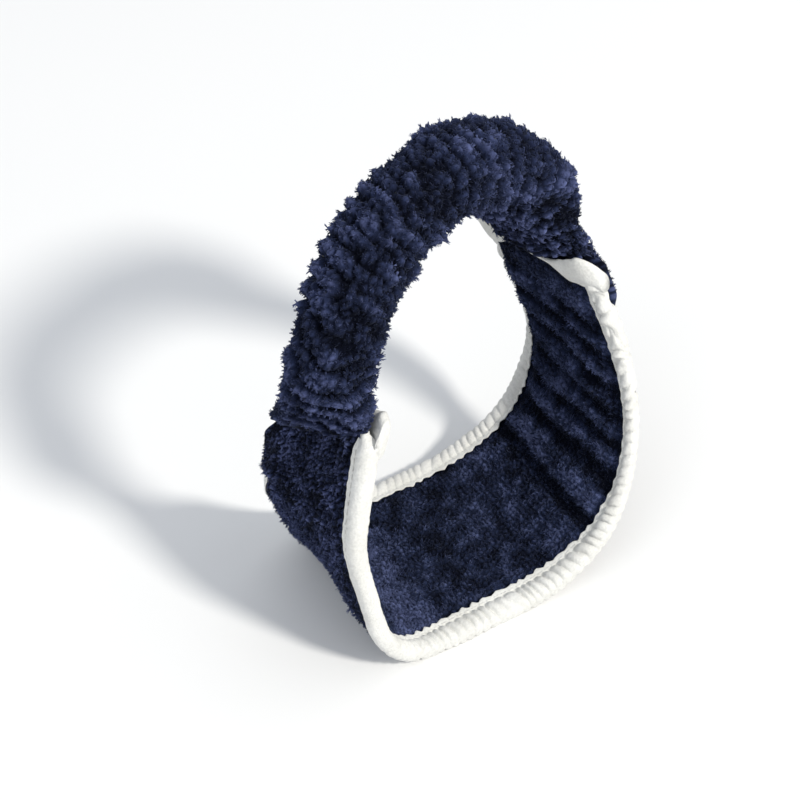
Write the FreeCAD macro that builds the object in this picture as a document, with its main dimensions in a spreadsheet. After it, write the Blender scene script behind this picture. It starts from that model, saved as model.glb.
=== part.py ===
import FreeCAD, Part
import math
import os
import Sketcher

# A terry sweat headband standing on its front panel, relaxed, with the loop's axis roughly along Y.
# +Z is up and Z = 0 is the surface it stands on. The wide front panel is two terry layers with a
# tape binding on both long edges. A gathered terry casing with an elastic band in it closes the loop.
# Every piece runs along one closed centre line, so each is a loft through sections set across it.

Vector = FreeCAD.Vector
document = FreeCAD.newDocument("sweat_headband")

# ---------------------------------------------------------------- driving dimensions (mm, degrees)
SIZES = {
    "panel_width": (70.0, "front panel at its widest, between the middles of its two bindings"),
    "end_width": (45.0, "the same where the panel is sewn to the casing"),
    "panel_length": (283.0, "front panel along the centre line, seam to seam"),
    "widest_share": (0.38, "place of the widest part, as a share of the length from the left seam"),
    "right_taper_start": (0.3, "share of the way from there to the right seam that keeps full width"),
    "layer_thickness": (3.4, "one terry layer with its pile"),
    "lip_thickness": (2.2, "one terry layer pressed down under the binding"),
    "half_gap": (0.2, "from the centre surface to each layer"),
    "binding_width": (7.6, "binding tape, from its fold to its stitched edge"),
    "flange_width": (2.0, "flat edge of the tape that the stitches go through"),
    "flange_thickness": (0.45, "the tape's flat edge"),
    "tape_thickness": (1.2, "binding tape, folded double"),
    "clearance": (0.35, "between the tape and the layers that it wraps"),
    "casing_diameter": (33.0, "gathered casing, over its pile"),
    "casing_end_width": (38.0, "casing where it is flattened into an end seam, across"),
    "casing_end_height": (19.0, "the same, through"),
    "elastic_width": (22.0, "elastic band across"),
    "elastic_thickness": (1.4, "elastic band through"),
    "slot_clearance": (0.8, "all round the elastic inside the casing"),
    "seam_gap": (0.3, "between the panel's end and the casing's end"),
    "stitch_length": (2.2, "one visible stitch"),
    "stitch_pitch": (3.2, "from one stitch to the next"),
    "thread_diameter": (0.4, "sewing thread"),
    "thread_gap": (0.03, "between a stitch and the cloth that it lies on"),
    "twist_angle": (24.0, "how far the relaxed loop has turned about a vertical line at its top"),
    "twist_height": (160.0, "height over which the twist comes in"),
    "lean_low": (-0.076, "lean of the loop near the floor, in mm of Y per mm of height"),
    "lean_high": (0.118, "extra lean at the twist height, per mm"),
    "left_tilt": (28.0, "how far the panel's left end is tipped about the loop's radius"),
    "right_tilt": (7.0, "the same at the right end"),
}

sheet = document.addObject("Spreadsheet::Sheet", "Sizes")
for row, (alias, (value, note)) in enumerate(SIZES.items(), start=1):
    sheet.set(f"A{row}", alias)
    sheet.set(f"B{row}", str(value))
    sheet.set(f"C{row}", note)
    sheet.setAlias(f"B{row}", alias)
document.recompute()


def size(alias):
    """Value of a cell of the spreadsheet."""
    return float(sheet.get(alias))


# ---------------------------------------------------------------- the loop's centre line
# Outline of the relaxed loop seen along +Y, before lean and twist, from the left seam down round
# the bottom, up to the right seam and over the top.
OUTLINE = [
    (-55.0, 104.5), (-57.0, 86.0), (-60.0, 64.0), (-55.0, 43.0), (-48.0, 22.0), (-33.0, 5.6),
    (-18.0, 3.5), (0.0, 3.4), (17.0, 5.0), (36.0, 13.0), (53.0, 31.0), (61.5, 56.0),
    (61.0, 88.0), (55.0, 115.0), (44.0, 144.0), (10.0, 161.0), (-33.0, 153.0), (-50.0, 129.5),
]
TWIST_AXIS_X = -30.0
LOOP_SHIFT = Vector(-0.6, -6.8, 0.1)
TANGENT_STEP = 0.5
TILT_START = 0.2  # share of the way to an end seam where the panel starts to tip

outline = Part.BSplineCurve()
outline.interpolate(Points=[Vector(x, 0, z) for x, z in OUTLINE], PeriodicFlag=True)
LOOP_LENGTH = outline.length()
PANEL_LENGTH = size("panel_length")
CASING_LENGTH = LOOP_LENGTH - PANEL_LENGTH
WIDEST_AT = size("widest_share") * PANEL_LENGTH


def ease(amount):
    """Smooth step from 0 to 1."""
    amount = min(max(amount, 0.0), 1.0)
    return amount * amount * (3.0 - 2.0 * amount)


def twist_at(height):
    """Turn about the vertical, in radians, at a height."""
    return math.radians(size("twist_angle")) * ease(height / size("twist_height"))


def centre_at(distance):
    """Point on the leaning, twisted centre line at a distance along it from the left seam."""
    flat = outline.value(outline.parameterAtDistance(distance % LOOP_LENGTH, outline.FirstParameter))
    turn = twist_at(flat.z)
    reach = flat.x - TWIST_AXIS_X
    lean = size("lean_low") * flat.z + size("lean_high") * flat.z ** 2 / size("twist_height")
    twisted = Vector(TWIST_AXIS_X + reach * math.cos(turn), reach * math.sin(turn) + lean, flat.z)
    return twisted + LOOP_SHIFT


def end_share(distance):
    """0 at the panel's widest part, 1 at either end seam."""
    if distance < WIDEST_AT:
        return (WIDEST_AT - distance) / WIDEST_AT
    return (distance - WIDEST_AT) / (PANEL_LENGTH - WIDEST_AT)


def tilt_at(distance):
    """Tip of the width direction at a distance along the loop, in radians."""
    left = math.radians(size("left_tilt"))
    right = math.radians(size("right_tilt"))
    if distance > PANEL_LENGTH:
        return right + (left - right) * ease((distance - PANEL_LENGTH) / CASING_LENGTH)
    end = left if distance < WIDEST_AT else right
    return end * ease((end_share(distance) - TILT_START) / (1.0 - TILT_START))


def section_placement(distance):
    """Frame of the section at a distance: X across the band, Y out of the loop, Z back along it."""
    centre = centre_at(distance)
    along = centre_at(distance + TANGENT_STEP) - centre_at(distance - TANGENT_STEP)
    tilt = tilt_at(distance)
    turn = twist_at(centre.z)
    across = Vector(-math.sin(turn) * math.cos(tilt), math.cos(turn) * math.cos(tilt), -math.sin(tilt))
    outward = across.cross(along).normalize()
    back = across.cross(outward)
    return FreeCAD.Placement(centre, FreeCAD.Rotation(across, outward, back, "ZXY"))


def width_taper(distance):
    """Share of the panel's narrowing that has happened at a distance."""
    start = 0.0 if distance < WIDEST_AT else size("right_taper_start")
    return round(ease((end_share(distance) - start) / (1.0 - start)), 4)


def half_width(distance):
    """Expression for half the panel's width at a distance."""
    taper = width_taper(distance)
    return f"(Sizes.panel_width - (Sizes.panel_width - Sizes.end_width) * {taper}) / 2"


# ---------------------------------------------------------------- sections and lofts
def new_body(label):
    body = document.addObject("PartDesign::Body", label)
    body.Label = label
    return body


def origin_plane(body, role):
    for feature in body.Origin.OriginFeatures:
        if feature.Role == role:
            return feature
    raise ValueError(role)


def section_sketch(body, name, distance):
    """Empty sketch of a body, set across the loop at a distance."""
    sketch = body.newObject("Sketcher::SketchObject", name)
    sketch.AttachmentSupport = [(origin_plane(body, "XY_Plane"), "")]
    sketch.MapMode = "FlatFace"
    sketch.AttachmentOffset = section_placement(distance)
    return sketch


def add_polygon(sketch, corners):
    """Closed outline whose corners are pairs of expressions, each bound as a distance from the origin."""
    document.recompute()
    values = [(evaluate(sketch, x), evaluate(sketch, y)) for x, y in corners]
    count = len(corners)
    for index in range(count):
        start = Vector(*values[index], 0)
        end = Vector(*values[(index + 1) % count], 0)
        sketch.addGeometry(Part.LineSegment(start, end), False)
    for index in range(count):
        sketch.addConstraint(Sketcher.Constraint("Coincident", index, 2, (index + 1) % count, 1))
    for index, (x, y) in enumerate(corners):
        across = sketch.addConstraint(Sketcher.Constraint("DistanceX", -1, 1, index, 1, values[index][0]))
        sketch.setExpression(f"Constraints[{across}]", x)
        outward = sketch.addConstraint(Sketcher.Constraint("DistanceY", -1, 1, index, 1, values[index][1]))
        sketch.setExpression(f"Constraints[{outward}]", y)


def evaluate(sketch, expression):
    value = sketch.evalExpression(expression)
    return float(getattr(value, "Value", value))


def loft_through(body, name, distances, corners_at, feature_type="PartDesign::AdditiveLoft"):
    """Loft through one polygon at each distance along the loop."""
    sketches = []
    for number, distance in enumerate(distances):
        sketch = section_sketch(body, f"{name}_section_{number}", distance)
        add_polygon(sketch, corners_at(distance))
        sketches.append(sketch)
    loft = body.newObject(feature_type, f"{name}_loft")
    loft.Profile = sketches[0]
    loft.Sections = sketches[1:]
    loft.Ruled = False
    loft.Closed = False
    document.recompute()
    return loft


def evenly(first, last, count):
    """Distances spread evenly from first to last."""
    return [first + (last - first) * number / (count - 1) for number in range(count)]


PANEL_SECTIONS = 29
PANEL_STATIONS = evenly(0.0, PANEL_LENGTH, PANEL_SECTIONS)
CASING_START = PANEL_LENGTH + size("seam_gap")
CASING_END = LOOP_LENGTH - size("seam_gap")
GATHER_REACH = 14.0
GATHER_STEP = 0.4 * GATHER_REACH
ROUND_CASING_SECTIONS = 8
CASING_FACETS = 16
CASING_STATIONS = (
    [CASING_START, CASING_START + GATHER_STEP]
    + evenly(CASING_START + GATHER_REACH, CASING_END - GATHER_REACH, ROUND_CASING_SECTIONS)
    + [CASING_END - GATHER_STEP, CASING_END]
)


# ---------------------------------------------------------------- terry layers of the front panel
def layer_corners(distance, side):
    """Section of one layer: full thickness in the middle, a thin lip under each binding."""
    half = half_width(distance)
    lip_end = f"({half} + Sizes.binding_width / 2 - Sizes.tape_thickness - Sizes.clearance)"
    step = f"({half} - Sizes.binding_width / 2 - Sizes.clearance)"
    crown = f"({step} - Sizes.layer_thickness + Sizes.lip_thickness)"
    inside = f"{side} * Sizes.half_gap"
    lip = f"{side} * Sizes.lip_thickness"
    face = f"{side} * Sizes.layer_thickness"
    return [
        (f"-{lip_end}", inside), (lip_end, inside), (lip_end, lip), (step, lip),
        (crown, face), (f"-{crown}", face), (f"-{step}", lip), (f"-{lip_end}", lip),
    ]


def make_layer(label, side):
    body = new_body(label)
    loft_through(body, label, PANEL_STATIONS, lambda distance: layer_corners(distance, side))
    return body


# ---------------------------------------------------------------- bindings
def binding_corners(distance, side):
    """Section of one binding: a U of tape round the panel's edge, its outer corners cut off."""
    start = f"{half_width(distance)} - Sizes.binding_width / 2"
    end = f"{half_width(distance)} + Sizes.binding_width / 2"
    stitched_edge = f"{side} * ({start})"
    flange_end = f"{side} * ({start} + Sizes.flange_width)"
    crest = f"{side} * ({start} + Sizes.flange_width + Sizes.tape_thickness / 2)"
    shoulder = f"{side} * ({end} - Sizes.tape_thickness)"
    fold = f"{side} * ({end})"
    inner = "(Sizes.lip_thickness + Sizes.clearance)"
    flange = "(Sizes.lip_thickness + Sizes.clearance + Sizes.flange_thickness)"
    top = "(Sizes.lip_thickness + Sizes.clearance + Sizes.tape_thickness)"
    return [
        (stitched_edge, flange), (flange_end, flange), (crest, top), (shoulder, top),
        (fold, inner), (fold, f"-{inner}"), (shoulder, f"-{top}"), (crest, f"-{top}"),
        (flange_end, f"-{flange}"), (stitched_edge, f"-{flange}"), (stitched_edge, f"-{inner}"),
        (shoulder, f"-{inner}"), (shoulder, inner), (stitched_edge, inner),
    ]


FLOOR_REACH = 200.0


def cut_below_floor(body):
    """Flat resting face: everything below Z = 0 is pocketed away."""
    sketch = body.newObject("Sketcher::SketchObject", f"{body.Label}_floor")
    sketch.AttachmentSupport = [(origin_plane(body, "XY_Plane"), "")]
    sketch.MapMode = "FlatFace"
    signs = [(-1, -1), (1, -1), (1, 1), (-1, 1)]
    corners = [Vector(x * FLOOR_REACH, y * FLOOR_REACH, 0) for x, y in signs]
    for start, end in zip(corners, corners[1:] + corners[:1]):
        sketch.addGeometry(Part.LineSegment(start, end), False)
    before = body.Shape.Volume
    pocket = body.newObject("PartDesign::Pocket", f"{body.Label}_flat")
    pocket.Profile = sketch
    pocket.Type = "ThroughAll"
    document.recompute()
    print(body.Label, "floor cut", round(before - body.Shape.Volume, 2), "mm3")


def make_binding(label, side):
    body = new_body(label)
    loft_through(body, label, PANEL_STATIONS, lambda distance: binding_corners(distance, side))
    cut_below_floor(body)
    return body


# ---------------------------------------------------------------- casing and elastic
def casing_corners(distance):
    """Section of the casing: round, but flattened towards the two end seams."""
    from_seam = min(distance - CASING_START, CASING_END - distance)
    roundness = round(ease(from_seam / GATHER_REACH), 4)
    flatness = round(1.0 - roundness, 4)
    wide = f"(Sizes.casing_diameter * {roundness} + Sizes.casing_end_width * {flatness}) / 2"
    high = f"(Sizes.casing_diameter * {roundness} + Sizes.casing_end_height * {flatness}) / 2"
    corners = []
    for number in range(CASING_FACETS):
        angle = 2.0 * math.pi * (number + 0.5) / CASING_FACETS
        corners.append((f"{wide} * {math.cos(angle):.5f}", f"{high} * {math.sin(angle):.5f}"))
    return corners


def slot_corners(_distance):
    """Section of the slot inside the casing that the elastic runs in, the same everywhere."""
    wide = "(Sizes.elastic_width / 2 + Sizes.slot_clearance)"
    high = "(Sizes.elastic_thickness / 2 + Sizes.slot_clearance)"
    return [(f"-{wide}", f"-{high}"), (wide, f"-{high}"), (wide, high), (f"-{wide}", high)]


def elastic_corners(_distance):
    """Section of the elastic, the same everywhere."""
    wide = "Sizes.elastic_width / 2"
    high = "Sizes.elastic_thickness / 2"
    return [(f"-{wide}", f"-{high}"), (wide, f"-{high}"), (wide, high), (f"-{wide}", high)]


def make_casing():
    body = new_body("elastic_casing")
    loft_through(body, "casing", CASING_STATIONS, casing_corners)
    before = body.Shape.Volume
    loft_through(body, "slot", CASING_STATIONS, slot_corners, "PartDesign::SubtractiveLoft")
    print("elastic slot", round(before - body.Shape.Volume), "mm3")
    return body


def make_elastic():
    body = new_body("elastic_band")
    loft_through(body, "elastic", CASING_STATIONS, elastic_corners)
    return body


# ---------------------------------------------------------------- stitching
def one_stitch(distance, across, outward, along_loop):
    """Short straight piece of thread lying on a face of the band."""
    placement = section_placement(distance)
    length = size("stitch_length")
    direction = Vector(0, 0, 1) if along_loop else Vector(1, 0, 0)
    start = Vector(across, outward, 0) - direction * (length / 2)
    thread = Part.makeCylinder(size("thread_diameter") / 2, length, start, direction)
    thread.Placement = placement.multiply(thread.Placement)
    return thread


def stitch_group(label, threads):
    group = document.addObject("Part::Feature", label)
    group.Label = label
    group.Shape = Part.Compound(threads)
    group.Placement = FreeCAD.Placement()
    return group


def half_width_value(distance):
    """The same half width as a plain number."""
    narrowing = (size("panel_width") - size("end_width")) * width_taper(distance)
    return (size("panel_width") - narrowing) / 2


THREAD_LIFT = size("thread_diameter") / 2 + size("thread_gap")


def binding_stitches(label, side):
    """A row of stitches near the tape's edge, on the outer and on the inner face."""
    height = size("lip_thickness") + size("clearance") + size("flange_thickness") + THREAD_LIFT
    inset = (size("binding_width") - size("flange_width")) / 2
    count = int((PANEL_LENGTH - 2 * size("stitch_pitch")) / size("stitch_pitch"))
    threads = []
    for number in range(count):
        distance = (number + 1.5) * size("stitch_pitch")
        across = side * (half_width_value(distance) - inset)
        for face in (1, -1):
            threads.append(one_stitch(distance, across, face * height, True))
    return stitch_group(label, threads)


def seam_stitches(label, distance):
    """A row of stitches across the panel's end, on both faces."""
    reach = half_width_value(distance) - size("binding_width")
    height = size("layer_thickness") + THREAD_LIFT
    count = int(2 * reach / size("stitch_pitch"))
    threads = []
    for number in range(count):
        across = (number - (count - 1) / 2) * size("stitch_pitch")
        for face in (1, -1):
            threads.append(one_stitch(distance, across, face * height, False))
    return stitch_group(label, threads)


def casing_stitches(label):
    """The casing's closing seam, along its underside."""
    depth = size("casing_diameter") / 2 + size("thread_diameter")
    first = CASING_START + GATHER_REACH
    last = CASING_END - GATHER_REACH
    count = int((last - first) / size("stitch_pitch"))
    threads = []
    for number in range(count):
        distance = first + (number + 0.5) * size("stitch_pitch")
        threads.append(one_stitch(distance, 0.0, -depth, True))
    return stitch_group(label, threads)


# ---------------------------------------------------------------- build, check and write
SEAM_INSET = 3.0  # from the end of the panel to its row of seam stitches
subparts = [
    make_layer("outer_panel", 1),
    make_layer("inner_panel", -1),
    make_binding("front_binding", -1),
    make_binding("back_binding", 1),
    make_casing(),
    make_elastic(),
    binding_stitches("front_binding_stitching", -1),
    binding_stitches("back_binding_stitching", 1),
    seam_stitches("left_seam_stitching", SEAM_INSET),
    seam_stitches("right_seam_stitching", PANEL_LENGTH - SEAM_INSET),
    casing_stitches("casing_seam_stitching"),
]
document.recompute()

for item in document.Objects:
    if "Invalid" in item.State or "Error" in item.State:
        raise RuntimeError(f"{item.Label} failed: {item.State}")
for item in subparts:
    if item.Shape.isNull() or not item.Shape.isValid():
        raise RuntimeError(f"{item.Label} has no valid shape")

os.makedirs("parts", exist_ok=True)
whole = FreeCAD.BoundBox()
for item in subparts:
    item.Shape.exportStep(f"parts/{item.Label}.step")
    whole.add(item.Shape.BoundBox)
    print(item.Label, "solids", len(item.Shape.Solids), "volume", round(item.Shape.Volume))
print("loop length", round(LOOP_LENGTH, 1), "casing length", round(CASING_LENGTH, 1))
print("box from", round(whole.XMin, 2), round(whole.YMin, 2), round(whole.ZMin, 2))
print("box to", round(whole.XMax, 2), round(whole.YMax, 2), round(whole.ZMax, 2))
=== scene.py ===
import math
import bmesh
import bpy
import numpy as np
from mathutils import Matrix, Vector


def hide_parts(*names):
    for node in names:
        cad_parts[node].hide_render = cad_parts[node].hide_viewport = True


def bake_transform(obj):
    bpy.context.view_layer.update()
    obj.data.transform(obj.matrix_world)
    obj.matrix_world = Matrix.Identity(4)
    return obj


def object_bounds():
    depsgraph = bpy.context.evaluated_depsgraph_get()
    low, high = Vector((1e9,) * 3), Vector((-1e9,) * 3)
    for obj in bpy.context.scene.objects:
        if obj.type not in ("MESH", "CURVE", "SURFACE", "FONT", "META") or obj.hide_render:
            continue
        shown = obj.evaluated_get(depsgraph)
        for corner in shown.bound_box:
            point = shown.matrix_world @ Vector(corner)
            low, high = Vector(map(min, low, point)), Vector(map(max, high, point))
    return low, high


# A navy terry sweat headband with white binding tape, standing on its front panel on a white table.
# Lengths are in millimetres until a mesh is made. Every piece is laid out along one closed centre
# line: "distance" runs along it from the left end seam, "across" runs over the band's width, from
# the front edge (negative) to the back edge, and "outward" points out of the loop.

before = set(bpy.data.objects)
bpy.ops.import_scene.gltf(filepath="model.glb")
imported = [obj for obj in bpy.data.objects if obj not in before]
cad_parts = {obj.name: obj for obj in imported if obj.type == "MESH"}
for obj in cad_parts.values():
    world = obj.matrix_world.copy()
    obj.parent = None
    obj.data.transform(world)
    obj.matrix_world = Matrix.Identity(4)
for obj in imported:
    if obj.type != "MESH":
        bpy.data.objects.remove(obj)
CAD_LOW, CAD_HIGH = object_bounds()

MM = 0.001

# -------------------- the loop's centre line
# Points (x, height) down the left leg, along the table, up the right leg and back over the top.
OUTLINE = np.array([
    (-55.0, 104.5), (-57.0, 86.0), (-60.0, 64.0), (-55.0, 43.0), (-48.0, 22.0), (-33.0, 5.6),
    (-18.0, 3.5), (0.0, 3.4), (17.0, 5.0), (36.0, 13.0), (53.0, 31.0), (61.5, 56.0),
    (61.0, 88.0), (55.0, 115.0), (44.0, 144.0), (10.0, 161.0), (-33.0, 153.0), (-50.0, 129.5),
])
# The loop is twisted about an upright axis and leans back, both more with height.
TWIST_AXIS_X = -30.0
LOOP_SHIFT = np.array([-0.6, -6.8, 0.1])
TWIST_ANGLE = math.radians(24.0)
TWIST_HEIGHT = 160.0
LEAN_LOW = -0.076
LEAN_HIGH = 0.118
# How far the width direction tips at the two end seams.
LEFT_TILT = math.radians(28.0)
RIGHT_TILT = math.radians(7.0)
# The front panel's length and widths, between the middles of its bindings.
PANEL_LENGTH = 283.0
WIDEST_AT = 0.38 * PANEL_LENGTH
RIGHT_TAPER_START = 0.3
PANEL_WIDTH = 70.0
END_WIDTH = 45.0


def ease(amount):
    """Smooth step from 0 to 1."""
    amount = np.clip(amount, 0.0, 1.0)
    return amount * amount * (3.0 - 2.0 * amount)


def bump(value, centre, reach):
    """1 at the centre, falling smoothly to 0 at that reach on both sides."""
    return 1.0 - ease(np.abs(value - centre) / reach)


def closed_spline(points, steps):
    """Points along the closed cubic spline through the given ones, that many to a span."""
    count = len(points)
    chord = np.linalg.norm(np.roll(points, -1, axis=0) - points, axis=1)
    slope = (np.roll(points, -1, axis=0) - points) / chord[:, None]
    matrix = np.zeros((count, count))
    for index in range(count):
        matrix[index, index - 1] += chord[index - 1]
        matrix[index, index] += 2.0 * (chord[index - 1] + chord[index])
        matrix[index, (index + 1) % count] += chord[index]
    bend = np.linalg.solve(matrix, 6.0 * (slope - np.roll(slope, 1, axis=0)))
    spans = []
    for index in range(count):
        near, far, reach = bend[index], bend[(index + 1) % count], chord[index]
        step = np.linspace(0.0, reach, steps, endpoint=False)[:, None]
        first = slope[index] - reach * (2.0 * near + far) / 6.0
        curve = step * first + step ** 2 * near / 2.0 + step ** 3 * (far - near) / (6.0 * reach)
        spans.append(points[index] + curve)
    return np.concatenate(spans + [points[:1]])


LINE = closed_spline(OUTLINE, 200)
LINE_DISTANCE = np.concatenate([[0.0], np.cumsum(np.linalg.norm(np.diff(LINE, axis=0), axis=1))])
LOOP_LENGTH = LINE_DISTANCE[-1]
CASING_LENGTH = LOOP_LENGTH - PANEL_LENGTH


def centre_at(distance):
    """Points of the leaning, twisted centre line."""
    distance = np.mod(distance, LOOP_LENGTH)
    x = np.interp(distance, LINE_DISTANCE, LINE[:, 0])
    z = np.interp(distance, LINE_DISTANCE, LINE[:, 1])
    turn = TWIST_ANGLE * ease(z / TWIST_HEIGHT)
    reach = x - TWIST_AXIS_X
    lean = LEAN_LOW * z + LEAN_HIGH * z * z / TWIST_HEIGHT
    twisted = np.stack([TWIST_AXIS_X + reach * np.cos(turn), reach * np.sin(turn) + lean, z], axis=-1)
    return twisted + LOOP_SHIFT


def end_share(distance):
    """0 at the panel's widest part, 1 at either end seam."""
    return np.where(distance < WIDEST_AT, (WIDEST_AT - distance) / WIDEST_AT,
                    (distance - WIDEST_AT) / (PANEL_LENGTH - WIDEST_AT))


def tilt_at(distance):
    """Tip of the width direction, in radians."""
    end = np.where(distance < WIDEST_AT, LEFT_TILT, RIGHT_TILT)
    on_panel = end * ease((end_share(distance) - 0.2) / 0.8)
    on_casing = RIGHT_TILT + (LEFT_TILT - RIGHT_TILT) * ease((distance - PANEL_LENGTH) / CASING_LENGTH)
    return np.where(distance > PANEL_LENGTH, on_casing, on_panel)


def half_width(distance):
    """Half the panel's width between the middles of its bindings."""
    start = np.where(distance < WIDEST_AT, 0.0, RIGHT_TAPER_START)
    taper = ease((end_share(distance) - start) / (1.0 - start))
    return (PANEL_WIDTH - (PANEL_WIDTH - END_WIDTH) * taper) / 2.0


def normalise(vectors):
    return vectors / np.linalg.norm(vectors, axis=-1, keepdims=True)


def band_point(distance, across, outward):
    """Points of the band from their places on it."""
    distance, across, outward = np.broadcast_arrays(distance, across, outward)
    centre = centre_at(distance)
    along = centre_at(distance + 0.5) - centre_at(distance - 0.5)
    tilt = tilt_at(distance)
    turn = TWIST_ANGLE * ease(centre[..., 2] / TWIST_HEIGHT)
    side = np.stack([-np.sin(turn) * np.cos(tilt), np.cos(turn) * np.cos(tilt), -np.sin(tilt)], axis=-1)
    out = normalise(np.cross(side, along))
    return centre + side * across[..., None] + out * outward[..., None]


# -------------------- noise
NOISE_ROWS = 256


def noise(seed, u, v, wrap=256):
    """Smooth noise from -1 to 1 that changes over about 1 in u and v, and repeats in v after wrap."""
    table = np.random.default_rng(seed).uniform(-1.0, 1.0, (NOISE_ROWS, wrap))
    u, v = np.broadcast_arrays(u, v)
    row, column = np.floor(u).astype(int), np.floor(v).astype(int)
    down, right = ease(u - row), ease(v - column)
    first, second = column % wrap, (column + 1) % wrap
    top = table[row % NOISE_ROWS, first] * (1 - right) + table[row % NOISE_ROWS, second] * right
    below = (row + 1) % NOISE_ROWS
    low = table[below, first] * (1 - right) + table[below, second] * right
    return top * (1 - down) + low * down


def knobs(seed, u, v, wrap=256):
    """Rounded knobs about 1 apart in u and v, from 0 in the gaps between them to about 1 on top."""
    rng = np.random.default_rng(seed)
    shift = rng.uniform(-0.4, 0.4, (2, NOISE_ROWS, wrap))
    height = rng.uniform(0.6, 1.0, (NOISE_ROWS, wrap))
    u, v = np.broadcast_arrays(u, v)
    row, column = np.floor(u).astype(int), np.floor(v).astype(int)
    nearest, second = np.full(u.shape, 9.0), np.full(u.shape, 9.0)
    top = np.ones(u.shape)
    for down in (-1, 0, 1):
        for right in (-1, 0, 1):
            place = (row + down) % NOISE_ROWS, (column + right) % wrap
            from_u = row + down + 0.5 + shift[0][place] - u
            from_v = column + right + 0.5 + shift[1][place] - v
            gap = np.hypot(from_u, from_v)
            second = np.minimum(second, np.maximum(nearest, gap))
            top = np.where(gap < nearest, height[place], top)
            nearest = np.minimum(nearest, gap)
    return top * ease((second - nearest) / 0.55) * (1.0 - 0.45 * nearest)


# -------------------- making meshes
def grid_faces(rows, columns):
    """Quads of a grid closed on itself from last to first column, and each corner's place in it."""
    row, column = np.meshgrid(np.arange(rows - 1), np.arange(columns), indexing="ij")
    row, column = row.ravel(), column.ravel()
    corner_row = np.stack([row, row, row + 1, row + 1], axis=1)
    corner_column = np.stack([column, column + 1, column + 1, column], axis=1)
    vertices = corner_row * columns + corner_column % columns
    places = np.stack([corner_row / (rows - 1), corner_column / columns], axis=-1)
    return vertices, places


def add_object(name, data):
    holder = bpy.data.objects.new(name, data)
    bpy.context.scene.collection.objects.link(holder)
    return holder


def make_mesh(name, points, corners, sizes, places, tone=None):
    """Object from points in mm. corners lists the points of all faces, sizes how many each face has."""
    mesh = bpy.data.meshes.new(name)
    mesh.vertices.add(len(points))
    mesh.vertices.foreach_set("co", (points * MM).astype(np.float32).ravel())
    mesh.loops.add(len(corners))
    mesh.loops.foreach_set("vertex_index", corners.astype(np.int32))
    mesh.polygons.add(len(sizes))
    starts = np.concatenate([[0], np.cumsum(sizes)[:-1]])
    mesh.polygons.foreach_set("loop_start", starts.astype(np.int32))
    mesh.update(calc_edges=True)
    layer = mesh.uv_layers.new(name="OFBake")
    layer.data.foreach_set("uv", places.astype(np.float32).ravel())
    if tone is not None:
        attribute = mesh.attributes.new("tone", "FLOAT", "POINT")
        attribute.data.foreach_set("value", tone.astype(np.float32))
    mesh.polygons.foreach_set("use_smooth", np.ones(len(sizes), bool))
    return add_object(name, mesh)


def face_outward(piece):
    """Turns every face of a closed mesh to point out of it."""
    work = bmesh.new()
    work.from_mesh(piece.data)
    bmesh.ops.recalc_face_normals(work, faces=work.faces)
    work.to_mesh(piece.data)
    work.free()


def sweep(name, points, tone=None):
    """Closed solid through a grid of points: one row to a section, each section a closed ring."""
    rows, columns = points.shape[:2]
    quads, places = grid_faces(rows, columns)
    first, last = np.arange(columns)[::-1], np.arange(columns) + (rows - 1) * columns
    corners = np.concatenate([quads.ravel(), first, last])
    sizes = np.concatenate([np.full(len(quads), 4), [columns, columns]])
    ring = np.linspace(0.0, 1.0, columns)
    first_cap = np.stack([np.zeros(columns), ring[::-1]], axis=1)
    last_cap = np.stack([np.ones(columns), ring], axis=1)
    places = np.concatenate([places.reshape(-1, 2), first_cap, last_cap])
    tone = None if tone is None else tone.ravel()
    piece = make_mesh(name, points.reshape(-1, 3), corners, sizes, places, tone)
    face_outward(piece)
    return piece


# -------------------- cloth surfaces
# Stretches of the panel, as the middle and the reach of a bump along it.
LEFT_LEG = (66.0, 56.0)
ON_TABLE = (145.0, 62.0)
RIGHT_LEG = (222.0, 45.0)
# Both faces of the panel lie this far from its middle surface, before their relief.
GROUND_LIFT = 1.2
BINDING_REACH = 4.0
# A strip this wide rolls along each long edge, by so many radians per mm.
CURL_REACH = 9.0
RIGHT_BACK_CURL = 0.085
LEFT_BACK_CURL = -0.12
RIGHT_FRONT_CURL = -0.02
BACK_EDGE_SPREAD = 4.5
LEFT_LEG_DENT = 2.4
# The long pile stands in knobs on the outer face and the sleeve, the short pile on the inner face.
KNOB_PITCH = 2.7
SHORT_KNOB_PITCH = 2.1
KNOB_HEIGHT = 1.7
SHORT_KNOB_HEIGHT = 1.1
# Heights of the larger swellings and hollows of both faces.
PLAIN_SWELL = 1.2
BUCKLED_SWELL = 2.2
CORNER_BULGE = 4.5
LEFT_HOLLOW = 1.6
SEAM_SWELL = 2.4
# The outer cloth bulges over the binding at two corners, and runs on into the sleeve as a flat flap.
COVER_LIFT = 3.8
FLAP_LENGTH = 6.0
FLAP_LIFT = 0.6
FLAP_NARROWING = 3.0
EDGE_PAST_MIDDLE = 2.2
EDGE_NARROWING = 5.0
# The way round the sleeve is measured on a circle of this radius. Its real section is an oval.
CASING_RADIUS = 13.0
CASING_HALF_WIDE = 14.2
CASING_HALF_HIGH = 12.0
CASING_END_WIDE = 20.5
CASING_END_HIGH = 5.0
LEFT_GATHER_REACH = 18.0
RIGHT_GATHER_REACH = 110.0
# The sleeve is gathered in slanting folds, which are broken into puffs.
GATHER_PITCH = 6.6
GATHER_SLANT = 0.55
FOLD_HEIGHT = 3.0
PUFF_PITCH = 7.0
PUFFS_ROUND = 10
PUFF_HEIGHT = 1.8
GATHER_LEVEL = 1.95
# How far the sleeve is tucked in, bulged or drawn along near its seams.
SEAM_GAP = 0.3
SEAM_TUCK = 8.5
SEAM_FLANK = 5.0
BELLY = 2.6
SHOULDER = 2.6
DRAWN_BACK = 4.5
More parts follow.
